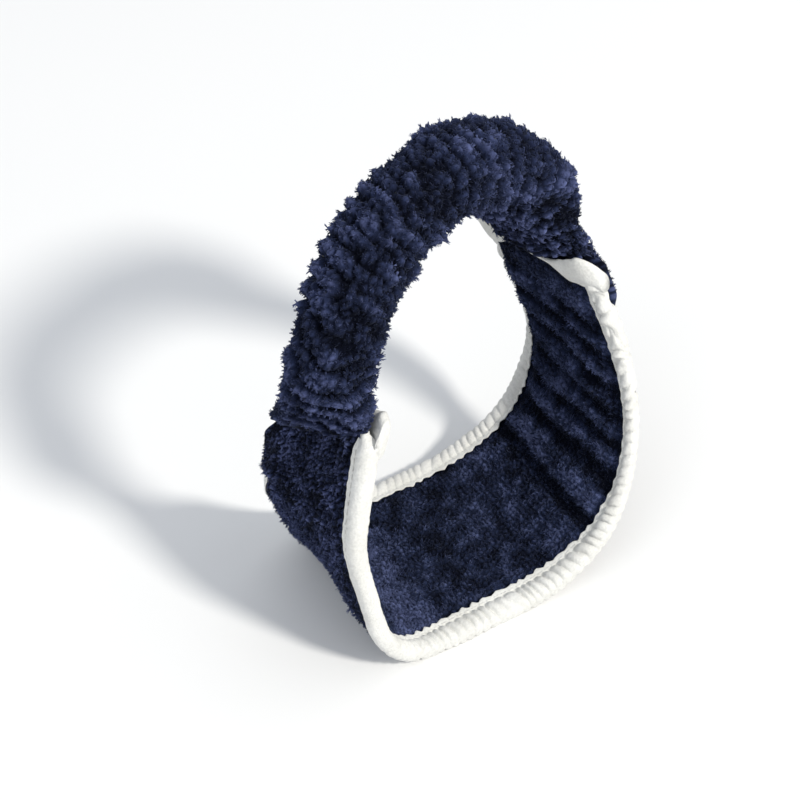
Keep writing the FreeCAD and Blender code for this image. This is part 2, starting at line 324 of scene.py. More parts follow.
# Valleys buckled across the inner face: distance at the middle, slant, half width and depth.
INNER_VALLEYS = [
    (122.0, 0.0, 7.0, 0.9), (143.0, 0.0, 6.0, 1.1), (166.0, 0.0, 5.0, 0.8), (189.0, 0.0, 5.6, 3.7),
    (205.6, 0.0, 6.3, 3.3), (217.6, 0.03, 5.6, 2.9), (228.5, 0.12, 6.0, 2.8), (241.5, 0.30, 6.0, 2.6),
    (253.5, 0.42, 5.5, 2.4), (266.0, 0.48, 6.0, 2.2),
]


def edge_curl(distance, side):
    """How sharply the panel's edge rolls, in radians per mm: out of the loop if positive."""
    back = RIGHT_BACK_CURL * ease((distance - 205.0) / 35.0) + LEFT_BACK_CURL * bump(distance, 48.0, 55.0)
    front = RIGHT_FRONT_CURL * ease((distance - 240.0) / 30.0)
    return np.where(side > 0, back, front)


def panel_point(distance, across, outward):
    """Points of the panel, whose long edges roll a little in or out of the loop.
    The back edge spreads near the right end, and the left leg is dented."""
    distance, across, outward = np.broadcast_arrays(distance, across, outward)
    side = np.sign(across)
    curl = edge_curl(distance, side)
    curl = np.where(np.abs(curl) < 0.001, 0.001, curl)
    start = half_width(np.clip(distance, 0.0, PANEL_LENGTH)) - CURL_REACH
    past = np.clip(np.abs(across) - start, 0.0, None)
    flat_across = np.minimum(np.abs(across), start)
    bent_across = flat_across + np.sin(curl * past) / curl - outward * np.sin(curl * past)
    bent_outward = (1.0 - np.cos(curl * past)) / curl + outward * np.cos(curl * past)
    at_back = np.where(side > 0, BACK_EDGE_SPREAD, 0.0)
    spread = at_back * bump(distance, 262.0, 40.0) * ease(np.abs(across) / start)
    dent = LEFT_LEG_DENT * bump(distance, 80.0, 32.0) * bump(across, 2.0, 26.0)
    return band_point(distance, side * bent_across + spread, bent_outward - dent)


def inner_knobs(distance, across):
    return knobs(24, distance / SHORT_KNOB_PITCH, across / SHORT_KNOB_PITCH)


def outer_knobs(distance, across):
    return knobs(34, distance / KNOB_PITCH, across / KNOB_PITCH)


def inner_level(distance, across):
    """How far the inner face stands into the loop where the cloth is buckled, in mm, before its knobs."""
    buckled = ease((distance - 183.0) / 10.0) * (1.0 - ease((distance - 272.0) / 12.0))
    level = PLAIN_SWELL + BUCKLED_SWELL * buckled + 0.5 * noise(21, distance / 16.0, across / 20.0)
    wander = 1.8 * noise(23, distance / 14.0, across / 12.0)
    for place, slant, reach, depth in INNER_VALLEYS:
        level = level - depth * bump(distance - slant * across + wander, place, reach)
    return np.clip(level, 0.1, None)


def inner_relief(distance, across):
    middle = 1.0 - 0.45 * ease((np.abs(across) / half_width(distance) - 0.5) / 0.5)
    lump = 0.4 * noise(22, distance / 3.6, across / 3.6)
    lump = lump + SHORT_KNOB_HEIGHT * inner_knobs(distance, across)
    return inner_level(distance, across) * middle + lump


def corner_cover(distance, across):
    """0 to 1 where the outer face bulges over a binding: the back one at the left end,
    the front one at the right."""
    edge = half_width(distance)
    left = (1.0 - ease((distance - 26.0) / 9.0)) * ease((across - edge + 14.0) / 10.0)
    left = left * ease((distance + 4.0) / 10.0)
    right = ease((distance - 265.0) / 7.0) * ease((-across - edge + 12.0) / 9.0)
    return left + right


def outer_relief(distance, across):
    """Swelling of the outer face, in mm. It bulges past the front binding at the right end."""
    corner = CORNER_BULGE * bump(distance, 277.0, 22.0) * bump(across, -16.0, 14.0)
    swell = 0.6 + 0.8 * noise(31, distance / 11.0, across / 14.0)
    swell = swell + 0.5 * noise(32, distance / 4.0, across / 4.0)
    swell = swell - LEFT_HOLLOW * bump(distance, 52.0, 42.0) * ease(across / 20.0)
    flat = 1.0 - 0.5 * bump(distance, 82.0, 28.0) * bump(across, 0.0, 30.0)
    near_seam = ease((distance - PANEL_LENGTH + 12.0) / 12.0)
    to_seam = SEAM_SWELL * near_seam * bump(across, 0.0, END_WIDTH / 2.0)
    return flat * (swell + KNOB_HEIGHT * outer_knobs(distance, across)) + corner + to_seam


def edge_fade(distance, across):
    """0 under the bindings, 1 inside them."""
    return ease((half_width(distance) - BINDING_REACH - np.abs(across)) / 4.0)


def outer_face(distance, across):
    relief = edge_fade(distance, across) * outer_relief(distance, across)
    relief = relief + COVER_LIFT * corner_cover(distance, across)
    hidden = ease((distance - PANEL_LENGTH) / FLAP_LENGTH)
    return panel_point(distance, across, FLAP_LIFT + (1.0 - hidden) * (GROUND_LIFT - FLAP_LIFT + relief))


def inner_face(distance, across):
    relief = edge_fade(distance, across) * inner_relief(distance, across)
    return panel_point(distance, across, -GROUND_LIFT - relief)


def gathers(distance, angle):
    """Height of the gathered sleeve over a plain tube, in mm: slanting folds broken into puffs."""
    turn = angle / (2.0 * np.pi)
    slow, quick = noise(41, distance / 13.0, 7.0 * turn, 7), noise(42, distance / 6.0, 12.0 * turn, 12)
    slanted = distance + GATHER_SLANT * CASING_RADIUS * np.cos(angle) + (3.6 * slow + 1.6 * quick)
    fold = np.abs(np.sin(np.pi * slanted / GATHER_PITCH)) ** 0.7
    strength = 0.75 + 0.5 * noise(43, distance / 8.0, 9.0 * turn, 9)
    place = PUFFS_ROUND * turn
    shuffled = place + 0.5 * noise(49, distance / 7.0, place, PUFFS_ROUND)
    puff = knobs(48, slanted / PUFF_PITCH, shuffled, PUFFS_ROUND)
    lump = noise(44, distance / 3.8, 22.0 * turn, 22)
    return FOLD_HEIGHT * fold * strength + PUFF_HEIGHT * puff + 0.6 * lump - GATHER_LEVEL


def casing_knobs(distance, angle):
    count = round(2.0 * np.pi * CASING_RADIUS / KNOB_PITCH)
    return knobs(47, distance / KNOB_PITCH, count * angle / (2.0 * np.pi), count)


def from_seam(distance):
    """How far a place on the sleeve is from the right and from the left seam."""
    return distance - PANEL_LENGTH - SEAM_GAP, LOOP_LENGTH - SEAM_GAP - distance


def casing_face(distance, around):
    """Point of the sleeve. around is the arc length round it, from the back edge over the outside."""
    angle = around / CASING_RADIUS
    from_right, from_left = from_seam(distance)
    relief = gathers(distance, angle) * ease(np.minimum(from_right, from_left) / 5.0)
    relief = relief + KNOB_HEIGHT * casing_knobs(distance, angle)
    flare = 1.0 - np.minimum(ease(from_right / RIGHT_GATHER_REACH), ease(from_left / LEFT_GATHER_REACH))
    pinch = 1.0 - np.minimum(ease(from_right / 32.0), ease(from_left / LEFT_GATHER_REACH))
    back_share = ease(np.cos(angle))
    tuck = SEAM_TUCK * (1.0 - ease(from_right / 16.0)) * back_share
    flank = SEAM_FLANK * (1.0 - ease(from_left / 15.0)) * back_share
    belly = BELLY * bump(distance, PANEL_LENGTH + 42.0, 48.0) * ease(-np.sin(angle))
    shoulder = SHOULDER * bump(distance, PANEL_LENGTH + 30.0, 30.0) * ease(0.5 + 0.7 * np.sin(angle))
    wide = CASING_HALF_WIDE + (CASING_END_WIDE - CASING_HALF_WIDE) * flare - tuck + flank
    high = CASING_HALF_HIGH + (CASING_END_HIGH - CASING_HALF_HIGH) * pinch
    across = (wide + relief + shoulder) * np.cos(angle)
    outward = (high + relief + shoulder + belly) * np.sin(angle)
    drawn_back = DRAWN_BACK * (1.0 - ease(from_right / 20.0)) * ease(-1.3 * np.cos(angle))
    return band_point(distance + drawn_back, across, outward)


def inner_shade(distance, across):
    """How light the short pile is: painted light on its ridges and in two bands across it,
    painted shade in its valleys, between its knobs and up the right wall, and random bands and patches.
    """
    # Painted light: two lighter bands across the inner face.
    painted_light_bands = 0.62 * bump(distance, 110.0, 22.0) + 0.24 * bump(distance, 176.0, 14.0)
    slow, quick = noise(26, distance / 9.0, across / 7.0), noise(28, distance / 5.0, across / 40.0)
    banded = 0.12 * slow + 0.14 * quick
    # Painted shade in the valleys of the buckled part and painted light on its ridges.
    ridge = 0.24 * (inner_level(distance, across) - 1.9) * ease((distance - 170.0) / 15.0)
    # The knob term is painted shade between the knobs; the noise is random tone.
    clumped = 0.34 * noise(27, distance / 3.2, across / 3.2) + 0.5 * (inner_knobs(distance, across) - 0.6)
    # Painted shade up the right wall of the loop.
    painted_wall_shade = 0.06 * ease((distance - 188.0) / 10.0)
    return np.clip(ridge, -0.4, 0.35) + painted_light_bands + banded + clumped - painted_wall_shade


def outer_shade(distance, across):
    """How light the long pile of the panel is: painted shade between its knobs, and random patches."""
    slow, quick = noise(36, distance / 6.0, across / 6.0), noise(37, distance / 3.0, across / 3.0)
    clumped = 0.34 * slow + 0.26 * quick
    # The knob term is painted shade between the knobs.
    return 0.10 + clumped + 1.25 * (outer_knobs(distance, across) - 0.6)


def casing_shade(distance, around):
    """How light the sleeve's pile is: painted shade between its gathers and knobs, stronger near the right
    seam, and a painted shadow under its right end.
    """
    angle = around / CASING_RADIUS
    # Painted shade in the valleys between the gathers, painted light on their crests.
    gathered = np.clip(0.27 * (gathers(distance, angle) - 0.25), -0.55, 0.42)
    # The painted shade is stronger near the right seam.
    crisp = bump(distance, PANEL_LENGTH + 16.0, 34.0)
    # Painted shade between the knobs.
    painted_knob_shade = (0.45 + 0.5 * crisp) * (casing_knobs(distance, angle) - 0.6)
    # Painted shadow on the inner side of the sleeve under its right end.
    painted_underside_shadow = bump(distance, PANEL_LENGTH + 8.0, 30.0) * ease(-1.4 * np.sin(angle))
    painted_underside_shadow = 0.5 * painted_underside_shadow * ease(0.5 + np.cos(angle))
    return 0.03 + gathered * (1.0 + 0.5 * crisp) + painted_knob_shade - painted_underside_shadow


def cloth_edge(distance, side, folded_over):
    """Place across of the cloth's edge. It narrows at the seams where it isn't folded over the tape."""
    from_end = np.minimum(distance, PANEL_LENGTH - distance)
    covering = folded_over * corner_cover(distance, side * half_width(distance))
    narrowed = EDGE_NARROWING * (1.0 - ease(from_end / 7.0)) * (1.0 - covering)
    on_flap = FLAP_NARROWING * ease((distance - PANEL_LENGTH) / FLAP_LENGTH)
    return half_width(distance) + EDGE_PAST_MIDDLE - narrowed - on_flap


# A cloth's surface, its shade, and the side of the panel or sleeve that its pile stands on.
OUTER_CLOTH = (outer_face, outer_shade, 1.0)
INNER_CLOTH = (inner_face, inner_shade, -1.0)
CASING_CLOTH = (casing_face, casing_shade, -1.0)
CLOTH_ROWS_PER_MM = 2.0
CLOTH_COLUMNS = 136
BACKING_LIFT = 0.25
LOWEST_CLOTH = 0.1
# The cloth under the pile takes this tone, between the root and middle colours: painted shade beneath the
# pile.
MIDDLE_TONE = 0.35


def panel_layer(name, cloth):
    """One terry layer of the front panel: its pile face carries the relief, its back is plain.
    The outer layer runs on into the sleeve's end."""
    face, shade, side = cloth
    end = PANEL_LENGTH + (FLAP_LENGTH if side > 0 else 0.0)
    distance = np.linspace(0.0, end, round(CLOTH_ROWS_PER_MM * end))[:, None]
    back, front = (cloth_edge(distance, edge, side > 0) for edge in (1.0, -1.0))
    share = np.linspace(0.0, 1.0, CLOTH_COLUMNS)[None, :]
    across = share * back - (1.0 - share) * front
    under = across[:, ::-10]
    backing = panel_point(distance, under, side * BACKING_LIFT)
    points = np.concatenate([face(distance, across), backing], axis=1)
    points[..., 2] = np.maximum(points[..., 2], LOWEST_CLOTH)
    tone = np.clip(MIDDLE_TONE + shade(distance, across), 0.0, 1.0)
    return sweep(name, points, np.concatenate([tone, np.zeros(under.shape)], axis=1))


def sleeve_rows(count):
    """That many distances from the right seam to the left one, as a column."""
    return np.linspace(PANEL_LENGTH + SEAM_GAP, LOOP_LENGTH - SEAM_GAP, count)[:, None]


def full_turn(count, whole=2.0 * np.pi):
    """That many even steps round a ring, as a row."""
    return np.linspace(0.0, whole, count, endpoint=False)[None, :]


def squared_off(value, power):
    """Sine or cosine that turns an oval into a rounded oblong, the more the smaller the power."""
    return np.sign(value) * np.abs(value) ** power


def casing():
    distance = sleeve_rows(400)
    around = full_turn(200, 2.0 * np.pi * CASING_RADIUS)
    tone = np.clip(MIDDLE_TONE + casing_shade(distance, around), 0.0, 1.0)
    return sweep("elastic_casing_cloth", casing_face(distance, around), tone)


ELASTIC_HALF_WIDE = 11.0
ELASTIC_HALF_THICK = 0.62
ELASTIC_POWER = 0.3
RIB_HEIGHT = 0.08


def elastic():
    """The band inside the casing, ribbed across."""
    distance = sleeve_rows(500)
    angle = full_turn(24, 1.0) * 2.0 * np.pi
    rib = RIB_HEIGHT * np.sin(distance * np.pi)
    across = ELASTIC_HALF_WIDE * squared_off(np.cos(angle), ELASTIC_POWER)
    outward = (ELASTIC_HALF_THICK + rib) * squared_off(np.sin(angle), ELASTIC_POWER)
    return sweep("elastic_band_webbing", band_point(distance, across, outward))


# -------------------- binding tape
TAPE_RADIUS = 4.2
TAPE_OVERHANG = 0.5
PUCKER_PITCH = 3.5
PUCKER_DEPTH = 1.7
# Share of its size that the tape keeps at its very end. It is fullest at the front right corner.
PLAIN_END_SIZE = 0.35
FULL_END_SIZE = 0.7
# No tape lies lower than this over the table.
LOWEST_TAPE = 0.05


def binding_section():
    """Half of the tape's closed section, from the middle of the fold round its inner side.
    Each row is (across from the middle of the tape, outward, pucker share)."""
    return np.array([
        (4.1, 0.0, 0.2), (4.0, -1.2, 0.3), (3.6, -2.4, 0.5), (2.8, -3.3, 0.8), (1.6, -3.85, 1.0),
        (0.3, -3.95, 1.0), (-0.9, -3.6, 1.0), (-1.7, -2.95, 0.8), (-2.1, -2.5, 0.4), (-2.6, -2.55, 0.1),
        (-3.4, -2.75, 0.0), (-4.2, -2.75, 0.0), (-4.45, -2.5, 0.0), (-4.2, -2.3, 0.0), (-2.6, -2.15, 0.0),
        (-1.0, -2.4, 0.0), (1.4, -2.5, 0.0), (2.9, -1.6, 0.0), (3.3, 0.0, 0.0),
    ])


def smooth_path(rows, count):
    """Rows resampled along a smooth open curve through them."""
    place = np.linspace(0.0, len(rows) - 1.0, count)
    index = np.clip(np.floor(place).astype(int), 0, len(rows) - 2)
    share = (place - index)[:, None]
    padded = np.concatenate([2 * rows[:1] - rows[1:2], rows, 2 * rows[-1:] - rows[-2:-1]])
    before, start, end, after = (padded[index + step] for step in range(4))
    square = 2 * before - 5 * start + 4 * end - after
    cube = 3 * start - before - 3 * end + after
    return 0.5 * (2 * start + (end - before) * share + square * share ** 2 + cube * share ** 3)


def pucker_strength(distance):
    """How strongly the stitching puckers the tape. The left leg is almost smooth."""
    return 0.15 + 0.85 * ease((distance - 80.0) / 30.0)


def pucker_turns(distance):
    """Number of puckers up to a distance: they are wider towards the right end."""
    wider = ease((distance - 225.0) / 60.0) * (distance - 225.0) / 5.0
    return distance / PUCKER_PITCH - 0.5 * wider


def tape_size(distance, side):
    """Share of its usual size that the front tape has: fuller on the table, thinner up both legs."""
    legs = 0.15 * bump(distance, *LEFT_LEG) + 0.3 * bump(distance, 226.0, 52.0)
    return np.where(side < 0, 1.0 + 0.26 * bump(distance, *ON_TABLE) - legs, 1.0)


def tape_middle(distance, side):
    """Place across the band of the middle of the tape's section."""
    fuller = np.clip(tape_size(distance, side) - 1.0, 0.0, None)
    pushed_out = np.where(side < 0, 0.5, 0.0) * bump(distance, *LEFT_LEG)
    return half_width(np.clip(distance, 0.0, PANEL_LENGTH)) - 6.5 * fuller + pushed_out


def tape_under_cover(distance, side, outer_side):
    """Share of its height that the tape keeps where the outer cloth bulges over it."""
    return 1.0 - 0.5 * (corner_cover(distance, side * half_width(distance)) * outer_side)


def tape_swell(seed, side, distance, turns, section):
    """How much fuller or thinner than plain the tape is: creases, a slow twist and soft lumps."""
    across, outward, share = section
    crease = 1.0 - np.abs(np.sin(np.pi * turns)) ** 0.5
    deeper = 1.0 + 0.7 * ease((distance - 205.0) / 30.0)
    looser = 1.0 if side < 0 else 0.65
    uneven = PUCKER_DEPTH + 0.8 * noise(seed + 2, distance / 4.5, 0.5)
    depth = looser * uneven * pucker_strength(distance) * deeper
    twist = 0.10 * ease((distance - 225.0) / 25.0) * np.sin(2.0 * np.pi * distance / 6.7 + 0.5 * outward)
    soft = 0.05 * noise(seed + 3, distance / 7.0, across / 3.0)
    soft = soft + 0.025 * noise(seed + 5, distance / 1.8, across / 1.5)
    return 1.0 + soft + share * (twist - depth * crease / TAPE_RADIUS)


def flange_drawn_in(seed, distance, turns, across):
    """How far the flange's edge is drawn in: small uneven teeth, and more up the right leg."""
    tooth = np.abs(np.mod(turns * 0.75, 1.0) - 0.5) * 2.0
    uneven = 0.5 * tooth + 0.25 * noise(seed + 4, distance / 2.0, 0.5)
    ragged = uneven * (0.3 + 0.7 * pucker_strength(distance))
    flange = np.clip(-across - 2.6, 0.0, None)
    return flange * (ragged + 0.5 * bump(distance, *RIGHT_LEG))


def binding(name, side):
    """Tape folded round one long edge of the panel: a flat stitched flange and a rolled, puckered fold."""
    half = smooth_path(binding_section(), 40)
    ring = np.concatenate([half, half[-2:0:-1] * [1.0, -1.0, 1.0]])
    distance = np.linspace(-TAPE_OVERHANG, PANEL_LENGTH + TAPE_OVERHANG, 1100)[:, None]
    across, outward, share = (ring[None, :, axis] for axis in range(3))
    seed = 50 if side < 0 else 60
    slant = 0.10 * across * np.sign(outward) + 0.25 * noise(seed, distance / 6.0, outward / 4.0)
    turns = pucker_turns(distance) + slant + 0.8 * noise(seed + 1, distance / 8.0, 0.5)
    swell = tape_swell(seed, side, distance, turns, (across, outward, share))
    from_end = np.minimum(distance + TAPE_OVERHANG, PANEL_LENGTH + TAPE_OVERHANG - distance)
    end_size = np.where((distance > WIDEST_AT) & (side < 0), FULL_END_SIZE, PLAIN_END_SIZE)
    tuck = end_size + (1.0 - end_size) * ease(from_end / 7.0)
    middle = tape_middle(distance, side) - 3.0 * (1.0 - tuck)
    size = tuck * tape_size(distance, side)
    place = middle + (across * swell + flange_drawn_in(seed, distance, turns, across)) * size
    height = outward * swell * size * tape_under_cover(distance, side, outward > 0)
    points = panel_point(distance, side * place, height)
    points[..., 2] = np.maximum(points[..., 2], LOWEST_TAPE)
    return sweep(name, points)


# The tape's turned ends, lying across the inner face along the end seams. Each row is the place
# across, the distance, half the width, the depth into the loop and half the thickness.
RIGHT_END_ROWS = np.array([
    (-27.0, 279.5, 3.4, 0.8, 2.6), (-25.2, 281.8, 4.6, 2.0, 2.2), (-22.5, 283.6, 5.4, 3.6, 1.7),
    (-18.5, 283.6, 5.4, 4.5, 1.4), (-13.0, 282.2, 3.8, 4.8, 1.1), (-7.0, 282.4, 1.0, 4.4, 0.8),
    (0.0, 282.8, 0.6, 4.3, 0.6), (10.0, 283.6, 0.6, 4.2, 0.6), (13.5, 286.8, 4.2, 5.2, 1.2),
    (18.0, 289.0, 7.0, 5.0, 1.5), (22.5, 288.0, 6.0, 2.8, 1.5), (25.5, 285.0, 3.2, 0.8, 1.6),
])
LEFT_END_ROWS = np.array([
    (-26.5, 5.0, 4.4, 2.0, 2.4), (-24.0, 4.0, 7.6, 5.4, 3.2), (-18.0, 3.2, 8.0, 7.4, 3.4),
    (-13.0, 1.0, 5.4, 6.4, 2.8), (-6.0, 0.5, 1.5, 4.6, 0.9), (8.0, 0.5, 0.8, 4.4, 0.7),
    (18.0, 0.5, 2.5, 4.4, 1.2), (23.0, 0.5, 3.2, 2.6, 1.6),
])


def end_tape(name, rows):
    """The folded end of the binding tape, as a soft flat lens of changing width."""
    path = smooth_path(rows, 160)[:, None, :]
    across, middle, half_wide, depth, half_thick = (path[..., axis] for axis in range(5))
    angle = full_turn(36)
    wrinkle = 1.0 + 0.10 * noise(71, across / 3.0, 3.0 * np.cos(angle))
    distance = middle + half_wide * wrinkle * np.cos(angle)
    inward = depth + half_thick * wrinkle * squared_off(np.sin(angle), 0.8)
    return sweep(name, band_point(distance, across, -inward))


# -------------------- stitching
STITCH_PITCH = 3.2
STITCH_LENGTH = 2.2
STITCH_RADIUS = 0.22
STITCH_RISE = 0.25
STITCH_SUNK = 0.1
STITCH_RINGS = 9
STITCH_SIDES = 8
LOWEST_THREAD = 0.02
# The groove between the tape's flange and its fold, from the middle of the tape.
GROOVE_LIFT = 2.72
GROOVE_INSET = 2.45


def stitches(name, surface, distance, across, turned):
    """Short threads that dip into the cloth at both ends. turned is 0 along the band, 1 across it."""
    step = np.linspace(-0.5, 0.5, STITCH_RINGS)[None, :] * STITCH_LENGTH
    run = surface(distance[:, None] + step * (1.0 - turned), across[:, None] + step * turned)
    middle = surface(distance, across)
    nudge = surface(distance + 0.3 * turned, across + 0.3 * (1.0 - turned)) - middle
    side = normalise(nudge)[:, None, :]
    forward = normalise(run[:, -1] - run[:, 0])[:, None, :]
    up = np.cross(side, forward)
    rise = (STITCH_RISE * np.cos(np.pi * step / STITCH_LENGTH) - STITCH_SUNK)[..., None]
    girth = STITCH_RADIUS * np.sqrt(np.clip(1.0 - (1.9 * step / STITCH_LENGTH) ** 4, 0.02, 1.0))
    angle = np.linspace(0.0, 2.0 * np.pi, STITCH_SIDES, endpoint=False)[None, None, :, None]
    spoke = side[:, :, None, :] * np.cos(angle) + up[:, :, None, :] * np.sin(angle)
    ring = (run + up * rise)[:, :, None, :] + girth[..., None, None] * spoke
    ring[..., 2] = np.maximum(ring[..., 2], LOWEST_THREAD)
    count = len(distance)
    first_point = STITCH_RINGS * STITCH_SIDES * np.arange(count)[:, None, None]
    quads, places = grid_faces(STITCH_RINGS, STITCH_SIDES)
    quads = quads[None] + first_point
    end_ring = np.arange(STITCH_SIDES)
    caps = np.stack([end_ring[::-1], end_ring + (STITCH_RINGS - 1) * STITCH_SIDES])[None] + first_point
    corners = np.concatenate([quads.ravel(), caps.ravel()])
    sizes = np.concatenate([np.full(quads.size // 4, 4), np.full(2 * count, STITCH_SIDES)])
    places = np.concatenate([np.tile(places.reshape(-1, 2), (count, 1)), np.full((caps.size, 2), 0.5)])
    piece = make_mesh(name, ring.reshape(-1, 3), corners, sizes, places)
    face_outward(piece)
    return piece


def binding_stitches(name, side):
    """A row in the groove between the tape's flange and its fold, on both faces of the panel."""
    count = int(PANEL_LENGTH / STITCH_PITCH) - 3
    distance = np.tile((np.arange(count) + 2.0) * STITCH_PITCH, 2)
    face = np.repeat([1.0, -1.0], count)

    def groove(place, across):
        rows = face if place.ndim == 1 else face[:, None]
        height = rows * GROOVE_LIFT * tape_size(place, side) * tape_under_cover(place, side, rows > 0)
        return panel_point(place, across, height)
    across = side * (tape_middle(distance, side) - GROOVE_INSET * tape_size(distance, side))
    return stitches(name, groove, distance, across, 0.0)


def seam_stitches(name, distance):
    """A row across the panel's end, on its inner face."""
    reach = half_width(distance) - 6.0
    across = np.arange(-reach, reach, STITCH_PITCH)
    return stitches(name, inner_face, np.full(len(across), distance), across, 1.0)


def casing_stitches(name):
    """The sleeve's closing seam, along its underside."""
    distance = np.arange(PANEL_LENGTH + 15.0, LOOP_LENGTH - 15.0, STITCH_PITCH)
    around = np.full(len(distance), 1.5 * np.pi * CASING_RADIUS)
    return stitches(name, casing_face, distance, around, 0.0)


# -------------------- pile
# A blade has three corners at its root, three wider ones past its middle and a tip.
BLADE_CORNERS = np.array([0, 2, 1, 0, 1, 4, 3, 1, 2, 5, 4, 2, 0, 3, 5, 3, 4, 6, 4, 5, 6, 5, 3, 6])
BLADE_SIZES = np.array([3, 4, 4, 4, 3, 3, 3])
BLADE_POINTS = 7
# Tone rises from root to tip: painted shade deep in the pile.
BLADE_TONES = np.array([0.25, 0.25, 0.25, 0.5, 0.5, 0.5, 0.75])
BLADE_HEIGHTS = np.array([0.0, 0.0, 0.0, 0.6, 0.6, 0.6, 1.0])
ROOT_DEPTH = 0.3
TUFT_RADIUS = 0.42
TUFT_SPLAY = 0.35
TUFT_DROOP = 0.28
TUFT_LEAN_SPREAD = 0.32
BLADE_LEAN_SPREAD = 0.08
LOWEST_BLADE = 0.02


def tuft_places(rng, start, end, low, high, spacing):
    """Jittered places of tufts over a rectangle of cloth."""
    rows = int((end - start) / spacing)
    columns = int((high - low) / spacing)
    row, column = np.meshgrid(np.arange(rows), np.arange(columns), indexing="ij")
    shift = 0.5 * (row % 2) + 0.25
    distance = start + (row + 0.5 + rng.uniform(-0.38, 0.38, row.shape)) * (end - start) / rows
    across = low + (column + shift + rng.uniform(-0.38, 0.38, row.shape)) * (high - low) / columns
    return distance.ravel(), across.ravel()


def blade_points(base, direction, reach, droop, sides, girth):
    """Points of club-shaped blades, BLADE_POINTS to a blade."""
    points = np.zeros((len(base), BLADE_POINTS, 3))
    first, second = sides
    for corner in range(3):
        angle = 2.0 * np.pi * corner / 3.0
        spoke = first * math.cos(angle) + second * math.sin(angle)
        points[:, corner] = base - direction * ROOT_DEPTH + spoke * girth * 0.8
        points[:, corner + 3] = base + direction * reach * 0.6 + droop * 0.3 + spoke * girth
    points[:, 6] = base + direction * reach + droop
    points[..., 2] = np.maximum(points[..., 2], LOWEST_BLADE)
    return points


def stretched_to_fit(places):
    """Texture places spread over 0 to 1."""
    return (places - places.min()) / np.ptp(places)


def grow_pile(name, seed, cloth, tufts, blades, length, width, lean):
    """Bent, club-shaped blades rooted on a cloth. tufts is (distance, across, share of the length)."""
    rng = np.random.default_rng(seed)
    surface, shade, facing = cloth
    distance, across, share = tufts
    count = len(distance)
    root = surface(distance, across)
    along = normalise(surface(distance + 0.6, across) - surface(distance - 0.6, across))
    side = normalise(surface(distance, across + 0.6) - surface(distance, across - 0.6))
    normal = facing * normalise(np.cross(side, along))
    lean_along, lean_side = lean(distance, across)
    tuft = np.repeat(np.arange(count), blades)
    total = len(tuft)

    def varied(steady, offset):
        """Lean of each blade: steady, its tuft's, splayed from the tuft's middle, and its own."""
        of_tuft = rng.normal(0.0, TUFT_LEAN_SPREAD, count)[tuft]
        return steady[tuft] + of_tuft + TUFT_SPLAY * offset + rng.normal(0.0, BLADE_LEAN_SPREAD, total)

    turn = rng.uniform(0.0, 2.0 * np.pi, total)
    radius = TUFT_RADIUS * np.sqrt(rng.uniform(0.0, 1.0, total))
    offset_along, offset_side = radius * np.cos(turn), radius * np.sin(turn)
    lean_along = varied(lean_along, offset_along)
    lean_side = varied(lean_side, offset_side)
    leaning = normal[tuft] + along[tuft] * lean_along[:, None] + side[tuft] * lean_side[:, None]
    direction = normalise(leaning)
    base = root[tuft] + along[tuft] * offset_along[:, None] + side[tuft] * offset_side[:, None]
    tuft_length = length * share * rng.uniform(0.6, 1.15, count)
    reach = (tuft_length[tuft] * rng.uniform(0.8, 1.08, total))[:, None]
    droop = along[tuft] * lean_along[:, None] + side[tuft] * lean_side[:, None]
    droop = (droop + rng.normal(0.0, 0.25, (total, 3))) * reach * TUFT_DROOP
    first = normalise(np.cross(direction, rng.normal(0.0, 1.0, (total, 3))))
    second = np.cross(direction, first)
    girth = (width * rng.uniform(0.75, 1.2, total))[:, None]
    points = blade_points(base, direction, reach, droop, (first, second), girth)
    corners = (BLADE_CORNERS[None, :] + BLADE_POINTS * np.arange(total)[:, None]).ravel()
    sizes = np.tile(BLADE_SIZES, total)
    of_tuft = rng.uniform(-0.15, 0.15, count) + shade(distance, across)
    lightness = of_tuft[tuft] + rng.uniform(-0.08, 0.08, total)
    tone = np.clip(BLADE_TONES[None, :] + lightness[:, None], 0.0, 1.0)
    rise = BLADE_HEIGHTS[None, :] * reach
    place_u = stretched_to_fit((distance[tuft] + offset_along)[:, None] + rise * lean_along[:, None] * 0.5)
    place_v = stretched_to_fit((across[tuft] + offset_side)[:, None] + rise * lean_side[:, None] * 0.5)
    places = np.stack([place_u, place_v], axis=-1).reshape(-1, 2)[corners]
    return make_mesh(name, points.reshape(-1, 3), corners, sizes, places, tone.ravel())


def ruffled(seed, strength, along=0.0, across=0.0):
    """Lean of the pile: a steady combing and slow swirls."""
    def lean(distance, place):
        swirl_along = noise(seed, distance / 9.0, place / 9.0)
        swirl_across = noise(seed + 1, distance / 9.0, place / 9.0)
        return along + strength * swirl_along, across + strength * swirl_across
    return lean


LONG_PILE_SPACING = 1.1
SHORT_PILE_SPACING = 1.0


